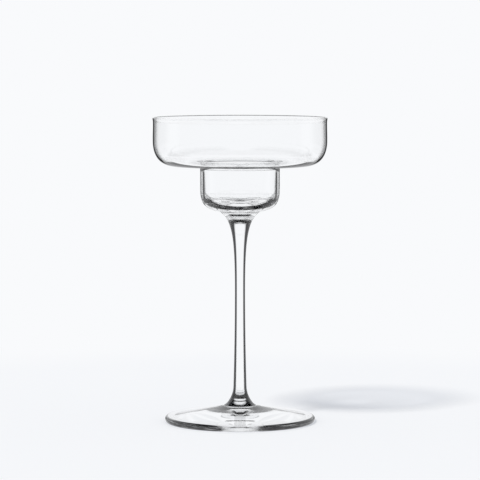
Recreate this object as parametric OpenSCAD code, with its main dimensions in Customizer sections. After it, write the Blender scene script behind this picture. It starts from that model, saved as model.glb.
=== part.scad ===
// Coupe margarita glass: a wide upper bowl that steps down into a narrow cup, a drawn stem and a round foot.
// All three are gathers of clear glass, joined hot, end face to end face.
// Origin: centre of the foot's underside, on the surface that the glass stands on. +Z up, millimetres.

/* [Overall] */
// Height from the table to the top of the rim
glass_h = 190; // [170:1:220]

/* [Upper bowl] */
// Outer width of the bowl at its belly
bowl_d = 108.4; // [90:0.2:130]
// Height of the bowl, from the top of the rim to its underside
bowl_h = 30.2; // [24:0.2:42]
// Thickness of the bowl's side wall
bowl_wall = 0.9; // [0.7:0.1:2]
// Thickness of the bowl's floor around the cup
bowl_floor = 1.1; // [0.9:0.1:3]
// Thickness of the fire-polished rim
rim_bead = 1.4; // [1:0.1:2.4]
// Height over which the rim's bead dies into the wall
rim_blend = 2.4; // [1.5:0.1:4]
// How far the mouth leans in from the belly, each side
mouth_lean = 0.15; // [0:0.05:1.5]
// Height of the round corner between wall and floor
bowl_corner_h = 15.7; // [8:0.1:18]
// Width of the round corner between wall and floor
bowl_corner_w = 13.4; // [6:0.1:18]

/* [Lower cup] */
// Outer width of the cup
cup_d = 49.5; // [40:0.1:60]
// Height of the cup, from the bowl's underside to the seat of the stem
cup_h = 28; // [20:0.1:36]
// Thickness of the cup's wall where it leaves the bowl
cup_wall_top = 1.6; // [1.2:0.1:2.6]
// Thickness of the cup's wall above its corner
cup_wall_low = 2.3; // [1.4:0.1:4]
// Thickness of the cup's heavy base
cup_base = 5.4; // [3:0.1:8]
// Radius of the hollow fillet under the step
step_fillet = 2.2; // [1.5:0.1:6]
// Radius of the rounded edge inside, above the step
step_round = 1.2; // [0.8:0.1:6]
// Height of the cup's outer corner
cup_corner_h = 14.4; // [8:0.1:16]
// Height of the corner inside the cup
well_corner_h = 7; // [4:0.1:9]
// Dip of the cup's floor towards its middle
well_dip = 1; // [0:0.1:2]

/* [Stem] */
// Diameter of the stem at its waist
stem_d = 6.3; // [5:0.1:10]
// Height of the waist above the table
waist_z = 82.2; // [70:0.2:95]
// Diameter of the stem where it is fused to the cup
stem_head_d = 27.2; // [18:0.1:34]
// Diameter of the stem just above the flare of its heel
heel_d = 8.15; // [6.5:0.05:12]
// Height of the heel's flare, above the joint with the foot
heel_h = 11.3; // [8:0.1:16]
// Diameter of the stem where it is fused to the foot
stem_heel_d = 20; // [15:0.1:26]

/* [Foot] */
// Diameter of the foot
foot_d = 93.6; // [80:0.2:110]
// Thickness of the foot at its edge
foot_edge = 3.9; // [2.5:0.1:5]
// How far the foot's edge is rounded inwards, above and below
foot_round = 1.7; // [1:0.1:3]
// Height of the foot's middle, where the stem is fused on
foot_rise = 10.5; // [7:0.1:13]
// Width of the flat ring that the foot rests on
rest_ring_w = 5; // [2:0.1:10]
// Height of the shallow hollow under the foot
foot_hollow = 1.2; // [0.4:0.1:2]

/* [Hidden] */
$fn = 128;
// points to each curve, and to the half circle of the rim
curve_steps = 14;
bead_steps = 10;

// how far each curve's handles reach, as shares of its height and width
bowl_corner_shares = [0.556, 0.708];
cup_corner_shares = [0.558, 0.861];
well_corner_shares = [0.85, 0.85];
head_shares = [0.8, 0.71];
taper_shares = [0.33, 0.33];
heel_shares = [0.42, 0.47];
foot_top_shares = [0.1, 0.25];
hollow_shares = [0.3, 0.4];

// slopes, as rise over run: the stem's head and heel where they are fused, its taper, the cup's underside at
// the stem, and the foot's top at its edge
head_slope_share = 0.5;
heel_slope_share = 0.4;
taper_slope_share = 0.03;
cup_under_slope_share = 0.127;
foot_top_slope_share = 0.1;

// levels, from the table up
rim_z = glass_h - rim_bead / 2;
bowl_under_z = glass_h - bowl_h;
bowl_floor_z = bowl_under_z + bowl_floor;
bowl_corner_z = bowl_under_z + bowl_corner_h;
seat_z = bowl_under_z - cup_h;
well_z = seat_z + cup_base;
cup_corner_z = seat_z + cup_corner_h;
well_corner_z = well_z + well_dip + well_corner_h;
heel_z = foot_rise + heel_h;

// radii
bowl_r = bowl_d / 2;
mouth_r = bowl_r - mouth_lean;
rim_r = mouth_r - bowl_wall / 2;
bowl_corner_r = bowl_r - bowl_corner_w;
cup_r = cup_d / 2;
cup_in_r = cup_r - cup_wall_top;
well_r = cup_r - cup_wall_low;
head_r = stem_head_d / 2;
waist_r = stem_d / 2;
heel_r = heel_d / 2;
heel_foot_r = stem_heel_d / 2;
foot_r = foot_d / 2;
foot_top_r = foot_r - foot_round;
ring_r = foot_top_r - rest_ring_w;

// a smooth curve from a to d, drawn towards its handles b and c
function curve(a, b, c, d) = [
    for (i = [0 : curve_steps])
        let (t = i / curve_steps, u = 1 - t)
            u * u * u * a + 3 * u * u * t * b + 3 * u * t * t * c + t * t * t * d
];

// an upright S from a to b, steep at both ends
function ease(a, b) = curve(a, [a.x, (a.y + b.y) / 2], [b.x, (a.y + b.y) / 2], b);

// a quarter turn that leaves a upright and reaches b with a slope
function corner(a, b, shares, slope) = let (run = (a.x - b.x) * shares.y)
    curve(a, [a.x, a.y + (b.y - a.y) * shares.x], [b.x + run, b.y + abs(run) * slope], b);

// part of a circle about c, from one angle to another
function arc(c, r, from, to, steps) = [
    for (i = [0 : steps])
        let (turn = from + (to - from) * i / steps)
            c + r * [cos(turn), sin(turn)]
];

function reversed(points) = [for (i = [len(points) - 1 : -1 : 0]) points[i]];

// outside of the bowl and the cup, from the rim down to the seat of the stem
function bowl_outside() = concat(
    ease([rim_r + rim_bead / 2, rim_z], [mouth_r, rim_z - rim_blend]),
    ease([mouth_r, rim_z - rim_blend], [bowl_r, bowl_corner_z]),
    corner([bowl_r, bowl_corner_z], [bowl_corner_r, bowl_under_z], bowl_corner_shares, 0),
    arc([cup_r + step_fillet, bowl_under_z - step_fillet], step_fillet, 90, 180, curve_steps),
    corner([cup_r, cup_corner_z], [head_r, seat_z], cup_corner_shares, cup_under_slope_share)
);

// inside of the bowl and the cup, from the rim down to the middle of the well
function bowl_inside() = concat(
    ease([rim_r - rim_bead / 2, rim_z], [mouth_r - bowl_wall, rim_z - rim_blend]),
    ease([mouth_r - bowl_wall, rim_z - rim_blend], [bowl_r - bowl_wall, bowl_corner_z]),
    corner([bowl_r - bowl_wall, bowl_corner_z], [bowl_corner_r, bowl_floor_z], bowl_corner_shares, 0),
    arc([cup_in_r + step_round, bowl_floor_z - step_round], step_round, 90, 180, curve_steps),
    corner([well_r, well_corner_z], [0, well_z], well_corner_shares, 0)
);

// half circle over the rim, from the inside out
function rim_top() = arc([rim_r, rim_z], rim_bead / 2, 180, 0, bead_steps);

module bowl() {
    color([0.93, 0.95, 0.97, 0.45])
        rotate_extrude()
            polygon(concat(
                [[0, seat_z]],
                reversed(bowl_outside()),
                reversed(rim_top()),
                bowl_inside()
            ));
}

// side of the stem, from its head down to its heel
function stem_side() = concat(
    curve(
        [head_r, seat_z],
        [head_r - (head_r - waist_r) * head_shares.x,
            seat_z - (head_r - waist_r) * head_shares.x * head_slope_share],
        [waist_r, waist_z + (seat_z - waist_z) * head_shares.y],
        [waist_r, waist_z]
    ),
    curve(
        [waist_r, waist_z],
        [waist_r, waist_z - (waist_z - heel_z) * taper_shares.x],
        [heel_r - (waist_z - heel_z) * taper_shares.y * taper_slope_share,
            heel_z + (waist_z - heel_z) * taper_shares.y],
        [heel_r, heel_z]
    ),
    curve(
        [heel_r, heel_z],
        [heel_r + heel_h * heel_shares.x * taper_slope_share, heel_z - heel_h * heel_shares.x],
        [heel_foot_r - (heel_foot_r - heel_r) * heel_shares.y,
            foot_rise + (heel_foot_r - heel_r) * heel_shares.y * heel_slope_share],
        [heel_foot_r, foot_rise]
    )
);

module stem() {
    color([0.9, 0.92, 0.95, 0.6])
        rotate_extrude()
            polygon(concat([[0, seat_z]], stem_side(), [[0, foot_rise]]));
}

// top of the foot and its round edge, from the joint out to the table
function foot_top() = concat(
    curve(
        [heel_foot_r, foot_rise],
        [heel_foot_r + (foot_top_r - heel_foot_r) * foot_top_shares.x,
            foot_rise - (foot_top_r - heel_foot_r) * foot_top_shares.x * heel_slope_share],
        [foot_top_r - (foot_top_r - heel_foot_r) * foot_top_shares.y,
            foot_edge + (foot_top_r - heel_foot_r) * foot_top_shares.y * foot_top_slope_share],
        [foot_top_r, foot_edge]
    ),
    [
        for (p = arc([0, 0], 1, 90, -90, bead_steps))
            [foot_top_r + foot_round * p.x, foot_edge * (1 + p.y) / 2]
    ]
);

module foot() {
    color([0.92, 0.94, 0.97, 0.5])
        rotate_extrude()
            polygon(concat(
                [[0, foot_rise]],
                foot_top(),
                [[ring_r, 0]],
                curve(
                    [ring_r, 0],
                    [ring_r * (1 - hollow_shares.x), 0],
                    [ring_r * hollow_shares.y, foot_hollow],
                    [0, foot_hollow]
                )
            ));
}

bowl();
stem();
foot();
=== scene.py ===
import math

import bmesh
import bpy
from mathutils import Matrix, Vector


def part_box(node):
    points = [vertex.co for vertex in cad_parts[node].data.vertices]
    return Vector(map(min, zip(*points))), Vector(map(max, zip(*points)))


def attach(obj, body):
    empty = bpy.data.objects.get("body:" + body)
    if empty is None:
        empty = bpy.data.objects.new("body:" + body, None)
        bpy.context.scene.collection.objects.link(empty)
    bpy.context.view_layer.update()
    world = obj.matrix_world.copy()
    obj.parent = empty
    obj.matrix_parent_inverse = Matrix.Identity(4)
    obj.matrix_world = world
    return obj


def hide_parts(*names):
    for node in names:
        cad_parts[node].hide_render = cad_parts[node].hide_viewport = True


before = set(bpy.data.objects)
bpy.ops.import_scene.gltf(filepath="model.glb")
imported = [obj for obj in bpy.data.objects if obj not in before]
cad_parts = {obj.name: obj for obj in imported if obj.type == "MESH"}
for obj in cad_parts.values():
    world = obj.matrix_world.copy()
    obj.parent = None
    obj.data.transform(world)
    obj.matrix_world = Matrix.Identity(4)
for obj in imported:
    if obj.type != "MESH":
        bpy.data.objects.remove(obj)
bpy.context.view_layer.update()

mm = 0.001
print("frame loaded:", sorted(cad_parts))

# all three pieces are spun about the glass's own axis
spinForm = {
    "turns": 128,       # facets round a full turn
    "curveSteps": 36,
    "arcSteps": 20,
    "beadSteps": 16,
}

bowlForm = {
    "wall": 0.9 * mm,
    "floor": 1.1 * mm,
    "rimBead": 1.4 * mm,
    "rimBlend": 2.4 * mm,
    "mouthLean": 0.15 * mm,
    "cornerHeight": 15.7 * mm,
    "cornerWidth": 13.4 * mm,
    "cornerShares": (0.556, 0.708),
    "cupRadius": 24.75 * mm,
    "cupHeight": 28 * mm,
    "cupWallTop": 1.6 * mm,
    "cupWallLow": 2.3 * mm,
    "cupBase": 5.4 * mm,
    "cupCornerHeight": 14.4 * mm,
    "cupCornerShares": (0.558, 0.861),
    "cupUnderSlope": 0.127,
    "stepFillet": 2.2 * mm,
    "stepRound": 1.2 * mm,
    "wellCornerHeight": 7 * mm,
    "wellDip": 1 * mm,
    "wellShares": (0.85, 0.85),
    # where the glass is painted dark: pairs that a painted shade starts and ends at
    "edgeShade": (0.62, 0.8),
    "innerShade": (0.76, 0.92),
    "cupInner": (0.66, 0.8),
    "rimShade": 0.9,
    "rimTurn": (0.1, 0.5),
    "underside": (0.5, 0.8),
    "cupStart": (2.4 * mm, 3.4 * mm),
    "underShade": (0.6, 0.62),
    "underTurn": (0.62, 0.72),
    "wallLine": (0.55, 0.66),
    "wallSoft": 0.02,
    "hookHeights": (-0.2 * mm, 3.3 * mm),
    "hookShade": (0.25, 0.3),
    "hookLean": 0.128 / mm,
    "hookSoft": 0.3 * mm,
    "baseLine": (0.43, 0.91),
    "baseLean": 0.34,
    "baseSoft": 0.05,
    "baseEdge": (0.86, 0.94),
    "baseStart": (0.02, 0.25),
    "streakTurns": 3,
    "streakPitch": 0.5 * mm,
    "sparkle": (0.58, 0.72),
    "sparkleClear": 0.15,
    "floorClear": (0.6, 0.9),
}

stemForm = {
    "waistRadius": 3.15 * mm,
    "waistHeight": 82.2 * mm,
    "headRadius": 13.6 * mm,
    "headShares": (0.8, 0.71),
    "headSlope": 0.5,
    "taperShares": (0.33, 0.33),
    "taperSlope": 0.03,
    "heelTopRadius": 4.075 * mm,
    "heelFlare": 11.3 * mm,
    "heelRadius": 10 * mm,
    "heelShares": (0.42, 0.47),
    "heelSlope": 0.4,
    # painted shade: how far the stem's edges turn away before they are painted dark
    "edgeShade": (0.15, 0.27),
    "headClear": (-0.6, -0.35),
}

footForm = {
    "edge": 3.9 * mm,
    "edgeRound": 1.7 * mm,
    "ringWidth": 5 * mm,
    "hollow": 1.2 * mm,
    "topShares": (0.1, 0.25),
    "topSlope": 0.1,
    "hollowShares": (0.3, 0.4),
    # painted shade: where and how dark the foot's glass is painted
    "edgeShade": (0.96, 1),
    "rimShade": (0.006, 0.045),
    "rimSoft": 0.3 * mm,
    "lookDown": 0.14,         # sine of the angle at which the foot is looked down on
    "shadowClear": (0.78, 0.79, 0.81, 1),
    "wings": (10.5 * mm, 21.5 * mm),
    "wingShade": (0.66, 0.88),
    "wingSoft": 1 * mm,
    "wingBlur": 0.03,
    "wingLevel": 0.985,
    "streakTurns": 3,
    "streakPitch": 0.6 * mm,
    "streakShade": (0.5, 0.7),
    "streakClear": 0.1,
}


# profile curves: lists of (radius, height)
def curve(a, b, c, d, steps=spinForm["curveSteps"]):
    points = []
    for i in range(steps + 1):
        t = i / steps
        u = 1 - t
        weights = (u ** 3, 3 * u * u * t, 3 * u * t * t, t ** 3)
        points.append(tuple(sum(w * p[k] for w, p in zip(weights, (a, b, c, d))) for k in (0, 1)))
    return points


def ease(a, b):
    middle = (a[1] + b[1]) / 2
    return curve(a, (a[0], middle), (b[0], middle), b)


def corner(a, b, shares, slope):
    run = (a[0] - b[0]) * shares[1]
    return curve(a, (a[0], a[1] + (b[1] - a[1]) * shares[0]), (b[0] + run, b[1] + abs(run) * slope), b)


def arc(centre, radius, start, end, steps=spinForm["arcSteps"]):
    points = []
    for i in range(steps + 1):
        turn = math.radians(start + (end - start) * i / steps)
        points.append((centre[0] + radius * math.cos(turn), centre[1] + radius * math.sin(turn)))
    return points


def bowlProfile(form):
    # closed line: seat of the stem, outside, rim, inside, middle of the well
    low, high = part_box("bowl")
    # the box ends at the rim's bead, which stands out past the belly
    bellyRadius = high.x - (form["rimBead"] - form["wall"]) / 2 + form["mouthLean"]
    rimHeight = high.z - form["rimBead"] / 2
    mouthRadius = bellyRadius - form["mouthLean"]
    rimRadius = mouthRadius - form["wall"] / 2
    seat = low.z
    under = seat + form["cupHeight"]
    floor = under + form["floor"]
    cornerTop = under + form["cornerHeight"]
    cornerRadius = bellyRadius - form["cornerWidth"]
    cup = form["cupRadius"]
    innerBelly = bellyRadius - form["wall"]
    innerMouth = mouthRadius - form["wall"]
    innerCup = cup - form["cupWallTop"]
    wellRadius = cup - form["cupWallLow"]
    well = seat + form["cupBase"]
    wellTop = well + form["wellDip"] + form["wellCornerHeight"]
    neck = rimHeight - form["rimBlend"]
    outside = (
        ease((rimRadius + form["rimBead"] / 2, rimHeight), (mouthRadius, neck))
        + ease((mouthRadius, neck), (bellyRadius, cornerTop))
        + corner((bellyRadius, cornerTop), (cornerRadius, under), form["cornerShares"], 0)
        + arc((cup + form["stepFillet"], under - form["stepFillet"]), form["stepFillet"], 90, 180)
        + corner(
            (cup, seat + form["cupCornerHeight"]),
            (stemForm["headRadius"], seat),
            form["cupCornerShares"],
            form["cupUnderSlope"],
        )
    )
    inside = (
        ease((rimRadius - form["rimBead"] / 2, rimHeight), (innerMouth, neck))
        + ease((innerMouth, neck), (innerBelly, cornerTop))
        + corner((innerBelly, cornerTop), (cornerRadius, floor), form["cornerShares"], 0)
        + arc((innerCup + form["stepRound"], floor - form["stepRound"]), form["stepRound"], 90, 180)
        + corner((wellRadius, wellTop), (0, well), form["wellShares"], 0)
    )
    rim = arc((rimRadius, rimHeight), form["rimBead"] / 2, 0, 180, spinForm["beadSteps"])
    return [(0, seat)] + outside[::-1] + rim[1:-1] + inside


def stemProfile(form):
    low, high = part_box("stem")
    head, seat, joint = form["headRadius"], high.z, low.z
    waist, middle = form["waistRadius"], form["waistHeight"]
    heelTop, heelLine = form["heelTopRadius"], joint + form["heelFlare"]
    pull = (head - waist) * form["headShares"][0]
    reach = (middle - heelLine) * form["taperShares"][1]
    drop = form["heelFlare"] * form["heelShares"][0]
    spread = (form["heelRadius"] - heelTop) * form["heelShares"][1]
    side = (
        curve(
            (head, seat),
            (head - pull, seat - pull * form["headSlope"]),
            (waist, middle + (seat - middle) * form["headShares"][1]),
            (waist, middle),
        )
        + curve(
            (waist, middle),
            (waist, middle - (middle - heelLine) * form["taperShares"][0]),
            (heelTop - reach * form["taperSlope"], heelLine + reach),
            (heelTop, heelLine),
        )
        + curve(
            (heelTop, heelLine),
            (heelTop + drop * form["taperSlope"], heelLine - drop),
            (form["heelRadius"] - spread, joint + spread * form["heelSlope"]),
            (form["heelRadius"], joint),
        )
    )
    return [(0, seat)] + side + [(0, joint)]


def footProfile(form):
    low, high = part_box("foot")
    heel, rise = stemForm["heelRadius"], high.z
    topRadius = high.x - form["edgeRound"]
    ring = topRadius - form["ringWidth"]
    run = topRadius - heel
    first, last = run * form["topShares"][0], run * form["topShares"][1]
    top = curve(
        (heel, rise),
        (heel + first, rise - first * stemForm["heelSlope"]),
        (topRadius - last, form["edge"] + last * form["topSlope"]),
        (topRadius, form["edge"]),
    )
    edge = [
        (topRadius + form["edgeRound"] * p[0], form["edge"] * (1 + p[1]) / 2)
        for p in arc((0, 0), 1, 90, -90, spinForm["beadSteps"])
    ]
    flat, crown = form["hollowShares"]
    under = curve(
        (ring, low.z), (ring * (1 - flat), low.z),
        (ring * crown, low.z + form["hollow"]), (0, low.z + form["hollow"]),
    )
    return [(0, rise)] + top + edge[1:] + under


# a closed piece of glass, turned about the axis; its fused faces get the second material
def turned(name, profile, fusedHeights, materials):
    bm = bmesh.new()
    line = []
    for radius, height in profile:
        place = Vector((radius, 0, height))
        if not line or (line[-1].co - place).length > 1e-7:
            line.append(bm.verts.new(place))
    edges = [bm.edges.new(pair) for pair in zip(line[:-1], line[1:])]
    bmesh.ops.spin(
        bm, geom=line + edges, cent=(0, 0, 0), axis=(0, 0, 1), dvec=(0, 0, 0),
        angle=2 * math.pi, steps=spinForm["turns"], use_merge=True, use_duplicate=False,
    )
    bmesh.ops.remove_doubles(bm, verts=bm.verts, dist=1e-6)
    bmesh.ops.recalc_face_normals(bm, faces=bm.faces)
    for face in bm.faces:
        face.smooth = True
        heights = [v.co.z for v in face.verts]
        for level in fusedHeights:
            if max(abs(h - level) for h in heights) < 1e-7:
                face.material_index = 1
    for edge in bm.edges:
        if len({face.material_index for face in edge.link_faces}) > 1:
            edge.smooth = False
    mesh = bpy.data.meshes.new(name)
    bm.to_mesh(mesh)
    bm.free()
    for material in materials:
        mesh.materials.append(material)
    piece = bpy.data.objects.new(name, mesh)
    bpy.context.scene.collection.objects.link(piece)
    return piece


# shader maths: a Wire is a socket that can stand in a sum
class Wire:
    def __init__(self, tree, socket):
        self.tree = tree
        self.socket = socket

    def math(self, operation, *values, **settings):
        settings["operation"] = operation
        return addNode(self.tree, "ShaderNodeMath", settings, dict(enumerate(values)))

    def __add__(self, other):
        return self.math("ADD", self, other)

    def __sub__(self, other):
        return self.math("SUBTRACT", self, other)

    def __rsub__(self, other):
        return self.math("SUBTRACT", other, self)

    def __mul__(self, other):
        return self.math("MULTIPLY", self, other)

    def __truediv__(self, other):
        return self.math("DIVIDE", self, other)

    def __pow__(self, other):
        return self.math("POWER", self, other)

    __radd__ = __add__
    __rmul__ = __mul__


def addNode(tree, kind, settings=None, values=None, out=0):
    node = tree.nodes.new(kind)
    for key, value in (settings or {}).items():
        setattr(node, key, value)
    for key, value in (values or {}).items():
        if isinstance(value, Wire):
            tree.links.new(value.socket, node.inputs[key])
        else:
            node.inputs[key].default_value = value
    return Wire(tree, node.outputs[out] if node.outputs else None)


def step(wire, start, end):
    settings = {"interpolation_type": "SMOOTHSTEP", "clamp": True}
    values = {"Value": wire, "From Min": start, "From Max": end}
    return addNode(wire.tree, "ShaderNodeMapRange", settings, values)


def between(wire, low, high, soft):
    return step(wire, low - soft, low + soft) * (1 - step(wire, high - soft, high + soft))


def xyz(tree, vector):
    parts = addNode(tree, "ShaderNodeSeparateXYZ", None, {0: vector})
    return [Wire(tree, parts.socket.node.outputs[k]) for k in "XYZ"]


def mixShader(tree, factor, first, second):
    return addNode(tree, "ShaderNodeMixShader", None, {0: factor, 1: first, 2: second})


def lightPath(tree, name):
    return addNode(tree, "ShaderNodeLightPath", out=name)


def newTree(owner):
    owner.use_nodes = True
    owner.node_tree.nodes.clear()
    return owner.node_tree


glassFinishAndShade = {
    "ior": 1.52,
    "tint": (0.995, 0.998, 1.0, 1),
    "wavePitch": 9 * mm,
    "waveHeight": 0.004 * mm,
    "hazePitch": 22 * mm,
    "hazeRange": (0.5, 0.8),
    "hazeRoughness": 0.006,
    # painted shade: the near-black colour that the glass is painted where makeShade darkens it
    "paintedShadeColor": (0.0006, 0.0006, 0.0007, 1),
    "shadowClear": (0.87, 0.88, 0.9, 1),
    "shadowEdge": (0.3, 0.31, 0.33, 1),
}


# makeShade gives the painted shade on the glass, how dark its colour is painted, from its place and from how
# far it turns away (facing: 1 is edge on)
def clearGlass(name, finishAndShade, makeShade):
    material = bpy.data.materials.new(name)
    tree = newTree(material)
    place = addNode(tree, "ShaderNodeTexCoord", out="Object")
    waves = addNode(tree, "ShaderNodeTexNoise", None, {"Vector": place, "Scale": 1 / finishAndShade["wavePitch"]})
    haze = addNode(tree, "ShaderNodeTexNoise", None, {"Vector": place, "Scale": 1 / finishAndShade["hazePitch"]})
    bump = addNode(
        tree, "ShaderNodeBump", None,
        {"Height": waves, "Strength": 1.0, "Distance": finishAndShade["waveHeight"]},
    )
    facing = addNode(tree, "ShaderNodeLayerWeight", None, {"Blend": 0.5}, out="Facing")
    # painted shade: the glass's colour goes from its tint toward near black where makeShade is 1
    color = addNode(
        tree, "ShaderNodeMix", {"data_type": "RGBA"},
        {0: makeShade(tree, place, facing), 6: finishAndShade["tint"], 7: finishAndShade["paintedShadeColor"]}, out=2,
    )
    body = addNode(
        tree, "ShaderNodeBsdfPrincipled", None,
        {
            "Base Color": color,
            "Transmission Weight": 1.0,
            "IOR": finishAndShade["ior"],
            "Roughness": step(haze, *finishAndShade["hazeRange"]) * finishAndShade["hazeRoughness"],
            "Normal": bump,
        },
    )
    clear = addNode(tree, "ShaderNodeBsdfTransparent", None, {"Color": finishAndShade["shadowClear"]})
    dark = addNode(tree, "ShaderNodeBsdfTransparent", None, {"Color": finishAndShade["shadowEdge"]})
    shadow = mixShader(tree, facing ** 3, clear, dark)
    outside = lightPath(tree, "Is Shadow Ray") + lightPath(tree, "Is Diffuse Ray")
    surface = mixShader(tree, outside, body, shadow)
    addNode(tree, "ShaderNodeOutputMaterial", None, {"Surface": surface})
    return material


# noise drawn out round the axis, like the marks of turning glass; it breaks the painted shade into streaks
def streaks(tree, place, form):
    x, y, z = xyz(tree, place)
    turn = x.math("ARCTAN2", x, y)
    around = addNode(tree, "ShaderNodeCombineXYZ", None, {
        0: turn.math("SINE", turn) * form["streakTurns"],
        1: turn.math("COSINE", turn) * form["streakTurns"],
        2: z / form["streakPitch"],
    })
    return addNode(tree, "ShaderNodeTexNoise", None, {"Vector": around, "Scale": 1.0, "Detail": 1.0})


# painted shade on the bowl: outer walls are painted dark first, the underside most; inner walls only at their
# very edge, the flat floor never
def bowlShade(tree, place, facing):
    px, py, pz = xyz(tree, place)
    nx, ny, nz = xyz(tree, addNode(tree, "ShaderNodeNewGeometry", out="Normal"))
    down = nz.math("MAXIMUM", 0 - nz, 0)
    outward = step(px * nx + py * ny, -0.001, 0.001)
    outer = outward.math("MAXIMUM", outward, step(down, *bowlForm["underside"]))
    low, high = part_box("bowl")
    below = low.z + bowlForm["cupHeight"] - pz
    cup = step(below, *bowlForm["cupStart"])
    underLine = step(facing, *bowlForm["underShade"]) * step(down, *bowlForm["underTurn"])
    bowlOuter = underLine.math("MAXIMUM", underLine, step(facing, *bowlForm["edgeShade"]))
    bowlInner = step(facing, *bowlForm["innerShade"])

    # painted shade on the cup: one thin dark line where its inner face starts to mirror, and a broader,
    # streaky one along its base, with lighter gaps like sparkles
    base = step(down, *bowlForm["baseStart"])
    sparkle = step(streaks(tree, place, bowlForm), *bowlForm["sparkle"])
    wallLine = between(facing, *bowlForm["wallLine"], bowlForm["wallSoft"])
    baseLine = between(facing + down * bowlForm["baseLean"], *bowlForm["baseLine"], bowlForm["baseSoft"])
    baseLine = baseLine * (1 - sparkle * bowlForm["sparkleClear"])
    baseLine = baseLine.math("MAXIMUM", baseLine, step(facing, *bowlForm["baseEdge"]))
    cupOuter = wallLine * (1 - base) + baseLine * base
    cupInner = step(facing, *bowlForm["cupInner"])

    # painted shade under the step's fillet: a thin dark arch that thickens into hooks at its sides
    hooks = step(facing - below * bowlForm["hookLean"], *bowlForm["hookShade"])
    hooks = hooks * between(below, *bowlForm["hookHeights"], bowlForm["hookSoft"])

    outerShade = cup * cupOuter + (1 - cup) * bowlOuter
    outerShade = outerShade.math("MAXIMUM", outerShade, hooks)
    innerShade = cup * cupInner + (1 - cup) * bowlInner
    both = outer * outerShade + (1 - outer) * innerShade
    both = both * (1 - step(nz, *bowlForm["floorClear"]))
    # painted shade: a dark line on the inner top of the rim's bead
    rim = step(pz, high.z - bowlForm["rimBead"], high.z - bowlForm["rimBead"] / 2)
    rimShade = (1 - outer) * rim * step(nz, *bowlForm["rimTurn"]) * bowlForm["rimShade"]
    return both.math("MAXIMUM", both, rimShade)


# painted shade on the stem's edges where they turn away; the underside of the stem's head stays clear
def stemShade(tree, place, facing):
    nx, ny, nz = xyz(tree, addNode(tree, "ShaderNodeNewGeometry", out="Normal"))
    return step(facing, *stemForm["edgeShade"]) * step(nz, *stemForm["headClear"])


# painted shade on the foot: its round edge is painted dark and streaky but where it faces the eye, standing in
# for its whole width seen through it;
# its top is painted dark beside the heel, where it slopes away sideways
def footShade(tree, place, facing):
    x, y, z = xyz(tree, place)
    nx, ny, nz = xyz(tree, addNode(tree, "ShaderNodeNewGeometry", out="Normal"))
    reach = (x * x + y * y) ** 0.5
    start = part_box("foot")[1].x - footForm["edgeRound"]
    outward = step(x * nx + y * ny, -0.001, 0.001)
    rim = step(reach, start - footForm["rimSoft"], start + footForm["rimSoft"]) * outward
    level = (1 - nz * nz).math("SQRT", 1 - nz * nz)
    aside = step(level + facing - 1 + nz * footForm["lookDown"], *footForm["rimShade"])
    streak = step(streaks(tree, place, footForm), *footForm["streakShade"])
    band = aside * (1 - streak * footForm["streakClear"])
    wings = between(reach, *footForm["wings"], footForm["wingSoft"]) * step(nz, 0, 0.1)
    wings = wings * between(facing, *footForm["wingShade"], footForm["wingBlur"])
    edge = step(facing, *footForm["edgeShade"])
    return edge.math("MAXIMUM", edge, rim * band + wings * footForm["wingLevel"])


def fusedFace():
    # inside the glass, where two gathers have run together, nothing bends the light
    material = bpy.data.materials.new("fusedFace")
    tree = newTree(material)
    through = addNode(tree, "ShaderNodeBsdfTransparent", None, {"Color": (1, 1, 1, 1)})
    addNode(tree, "ShaderNodeOutputMaterial", None, {"Surface": through})
    return material


# the sky as it is seen through the glass: angles in degrees, turn from the y axis and lift from the horizon
studio = {
    "paper": (0.947, 0.956, 0.973, 1),
    "dark": 0.012,
    "topLevel": 0.012,
    "deepLevel": 0.012,
    "cameraSide": 0.88,
    "wallTurn": (2, 6),
    "wallTop": (18, 24),
    "steepTurn": (30, 40),
    "steepTop": (50, 56),
    "grazedCard": (9, 22),
    "grazedLow": (-20, -17),
    "grazedTop": (2, 6),
    "sideCard": (22, 66),
    "sideLevel": 0.8,
    "smileCard": (29, 46),
    "smileMirrored": (6, 26),
    "smileTurn": (16, 22),
    "panelTop": 38,
    "footTurn": (14, 20),
    "footTop": (50, 56),
    "thinTop": (25, 47),
    "thinTurn": (20, 30),
    "deep": 45,
    "solidDeeper": 7,
    # the floor: painted shade, dark under the foot's middle where it is seen through the glass; painted light,
    # bright without the glass's shadow under its rest; and looked through further out
    "middle": 0.02,
    "paintedShadeUnderHeel": 0.007,
    "paintedShadeLevel": 0.01,
    "glassUnshaded": 0.7,
    "nearFloor": 0.06,
    "floorRadius": 0.45,
    "fadeStart": 0.28,
    "fadeEnd": 0.42,
    "lampShare": 0.5,
    "lampTravel": (82, 99, -165),
    "lampAngle": 8,
}


def throughGlass(tree):
    glossy = lightPath(tree, "Is Glossy Ray")
    return glossy.math("MAXIMUM", glossy, lightPath(tree, "Is Transmission Ray"))


# degrees from the y axis, the same in all four quarters
def quarterTurn(x, y):
    return x.math("ARCTAN2", x.math("ABSOLUTE", x), y.math("ABSOLUTE", y)) * (180 / math.pi)


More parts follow.
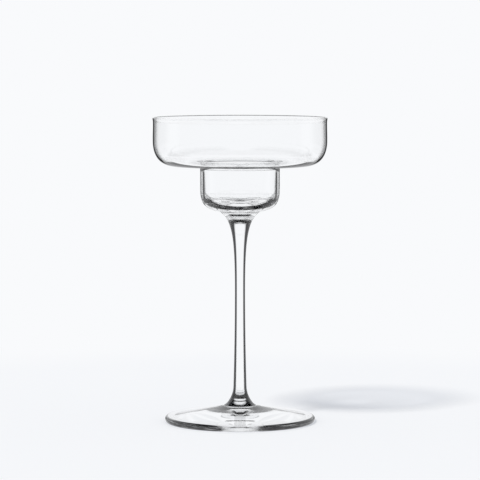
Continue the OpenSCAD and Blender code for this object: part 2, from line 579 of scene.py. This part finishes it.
def paperWorld(look):
    world = bpy.data.worlds.new("paperWorld")
    tree = newTree(world)
    x, y, z = xyz(tree, addNode(tree, "ShaderNodeTexCoord", out="Generated"))
    turn = quarterTurn(x, y)
    lift = z.math("ARCSINE", z) * (180 / math.pi)
    ahead = step(y, -0.02, 0.02)
    crossings = lightPath(tree, "Transmission Depth")
    bounces = lightPath(tree, "Glossy Depth")
    solid = 1 - step(crossings, 2.4, 2.6)
    entered = step(crossings, 0.4, 0.6)
    bounced = step(bounces, 0.4, 0.6)
    once = between(bounces, 0.5, 1.5, 0.1)
    mirrored = lightPath(tree, "Is Reflection Ray") * (1 - step(lightPath(tree, "Ray Depth"), 1.4, 1.6))

    # reflections off the outside
    sideways = step(turn, *look["wallTurn"]) * (1 - step(lift, *look["wallTop"]))
    steep = step(turn, *look["steepTurn"]) * (1 - step(lift, *look["steepTop"]))
    sideways = sideways.math("MAXIMUM", sideways, steep)
    wall = mirrored * sideways.math("MAXIMUM", sideways, 1 - step(lift, 0, 4))

    # rays that have been reflected inside the glass, and leave it low
    grazed = between(turn, *look["grazedCard"], 4)
    grazed = grazed.math("MAXIMUM", grazed, between(turn, *look["sideCard"], 6) * (1 - look["sideLevel"]))
    grazed = grazed * ahead * bounced * step(lift, *look["grazedLow"]) * (1 - step(lift, *look["grazedTop"]))

    # steeply upwards: past the bright panel's end, but for those of the foot's middle
    top = step(lift, look["panelTop"] - 3, look["panelTop"] + 3) * solid * (1 - step(bounces, 1.4, 1.6))
    top = top * (1 - once * (1 - step(turn, *look["footTurn"])) * (1 - step(lift, *look["footTop"])))
    thinTop = between(lift, *look["thinTop"], 3) * (1 - solid) * bounced * step(turn, *look["thinTurn"])
    top = top.math("MAXIMUM", top, thinTop)

    # the dark smile in the stem's head
    smile = between(lift, *look["smileCard"], 2) * (1 - once)
    smile = smile + between(lift, *look["smileMirrored"], 2) * once
    smile = smile * ahead * solid * entered * (1 - step(turn, *look["smileTurn"]))
    smile = smile * (1 - step(bounces, 2.4, 2.6))

    # steeply downwards
    deep = 1 - step(lift + solid * look["solidDeeper"], -look["deep"] - 4, -look["deep"] + 4)
    deep = deep * bounced
    deep = deep.math("MAXIMUM", deep, smile)
    level = 1 - (1 - ahead) * (1 - look["cameraSide"])
    level = level * (1 - grazed * (1 - look["dark"])) * (1 - wall * (1 - look["dark"]))
    level = level * (1 - top * (1 - look["topLevel"])) * (1 - deep * (1 - look["deepLevel"]))
    carded = 1 - throughGlass(tree) * (1 - level)
    strength = carded - lightPath(tree, "Is Diffuse Ray") * look["lampShare"]
    sky = addNode(tree, "ShaderNodeBackground", None, {"Color": look["paper"], "Strength": strength})
    addNode(tree, "ShaderNodeOutputWorld", None, {"Surface": sky})
    world.cycles.sampling_method = "NONE"
    bpy.context.scene.world = world


def stageMesh(name, bm, material):
    mesh = bpy.data.meshes.new(name)
    bm.to_mesh(mesh)
    bm.free()
    mesh.materials.append(material)
    thing = bpy.data.objects.new(name, mesh)
    bpy.context.scene.collection.objects.link(thing)
    return thing


def paperFloor(look):
    bm = bmesh.new()
    bmesh.ops.create_circle(bm, cap_ends=True, segments=96, radius=look["floorRadius"])
    material = bpy.data.materials.new("paper")
    tree = newTree(material)
    place = addNode(tree, "ShaderNodeTexCoord", out="Object")
    reach = addNode(tree, "ShaderNodeVectorMath", {"operation": "LENGTH"}, {0: place}, out="Value")
    fade = step(reach, look["fadeStart"], look["fadeEnd"])
    lit = addNode(tree, "ShaderNodeBsdfDiffuse", None, {"Color": look["paper"]})
    plain = addNode(tree, "ShaderNodeEmission", None, {"Color": look["paper"], "Strength": 1.0})
    clear = addNode(tree, "ShaderNodeBsdfTransparent", None, {"Color": (1, 1, 1, 1)})
    # painted light: seen through the glass, the floor is mostly plain glow without the glass's shadow
    unshaded = throughGlass(tree) * look["glassUnshaded"]
    sheet = mixShader(tree, fade.math("MAXIMUM", fade, unshaded), lit, plain)
    # painted shade: a dim glow put on the floor under the foot's middle and heel, seen only through the glass
    dark = addNode(tree, "ShaderNodeEmission", None, {"Color": look["paper"], "Strength": look["paintedShadeLevel"]})
    bounced = step(lightPath(tree, "Glossy Depth"), 0.4, 0.6)
    middle = bounced * (1 - step(reach, look["middle"] - 0.003, look["middle"] + 0.003))
    paintedShadeUnderHeel = 1 - step(reach, look["paintedShadeUnderHeel"] - 0.002, look["paintedShadeUnderHeel"] + 0.002)
    paintedShadeUnderFoot = throughGlass(tree) * middle.math("MAXIMUM", middle, paintedShadeUnderHeel)
    sheet = mixShader(tree, paintedShadeUnderFoot, sheet, dark)
    seeThrough = throughGlass(tree) * step(reach, look["nearFloor"] - 0.004, look["nearFloor"] + 0.004)
    addNode(tree, "ShaderNodeOutputMaterial", None, {"Surface": mixShader(tree, seeThrough, sheet, clear)})
    stageMesh("paperFloor", bm, material)


def sunLamp(look):
    lamp = bpy.data.lights.new("sunLamp", "SUN")
    travel = look["lampTravel"]
    length = math.sqrt(sum(t * t for t in travel))
    lamp.energy = math.pi * look["lampShare"] * length / -travel[2]
    lamp.angle = math.radians(look["lampAngle"])
    holder = bpy.data.objects.new("sunLamp", lamp)
    holder.visible_glossy = holder.visible_transmission = False
    bpy.context.scene.collection.objects.link(holder)
    holder.rotation_mode = "QUATERNION"
    holder.rotation_quaternion = Vector(travel).to_track_quat("-Z", "Y")


cameraPlace = {
    "distance": 1.65,
    "height": 0.237,
    "pitch": 4.2735,     # degrees below the horizon
    "lens": 199.5,
    "sensor": 36,
}


def placeCamera(place):
    data = bpy.data.cameras.new("camera")
    data.lens = place["lens"]
    data.sensor_width = place["sensor"]
    camera = bpy.data.objects.new("camera", data)
    bpy.context.scene.collection.objects.link(camera)
    camera.location = (0, -place["distance"], place["height"])
    camera.rotation_euler = (math.radians(90 - place["pitch"]), 0, 0)
    bpy.context.scene.camera = camera
    bpy.context.view_layer.update()


placeCamera(cameraPlace)
print("camera placed")

bowlGlass = clearGlass("bowlGlass", glassFinishAndShade, bowlShade)
stemGlass = clearGlass("stemGlass", glassFinishAndShade, stemShade)
footFinishAndShade = {**glassFinishAndShade, "shadowClear": footForm["shadowClear"]}
footGlass = clearGlass("footGlass", footFinishAndShade, footShade)
fused = fusedFace()
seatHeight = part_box("bowl")[0].z
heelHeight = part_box("foot")[1].z
for name, profile, node, levels, glass in (
    ("bowlAndCup", bowlProfile(bowlForm), "bowl", [seatHeight], bowlGlass),
    ("drawnStem", stemProfile(stemForm), "stem", [seatHeight, heelHeight], stemGlass),
    ("roundFoot", footProfile(footForm), "foot", [heelHeight], footGlass),
):
    piece = turned(name, profile, levels, [glass, fused])
    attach(piece, "root")
    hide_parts(node)
    print(name, "turned:", len(piece.data.polygons), "faces")

paperWorld(studio)
paperFloor(studio)
sunLamp(studio)
print("studio set")

scene = bpy.context.scene
scene.view_settings.view_transform = "Standard"
scene.cycles.max_bounces = 32
scene.cycles.transmission_bounces = 32
scene.cycles.glossy_bounces = 16
scene.cycles.transparent_max_bounces = 32
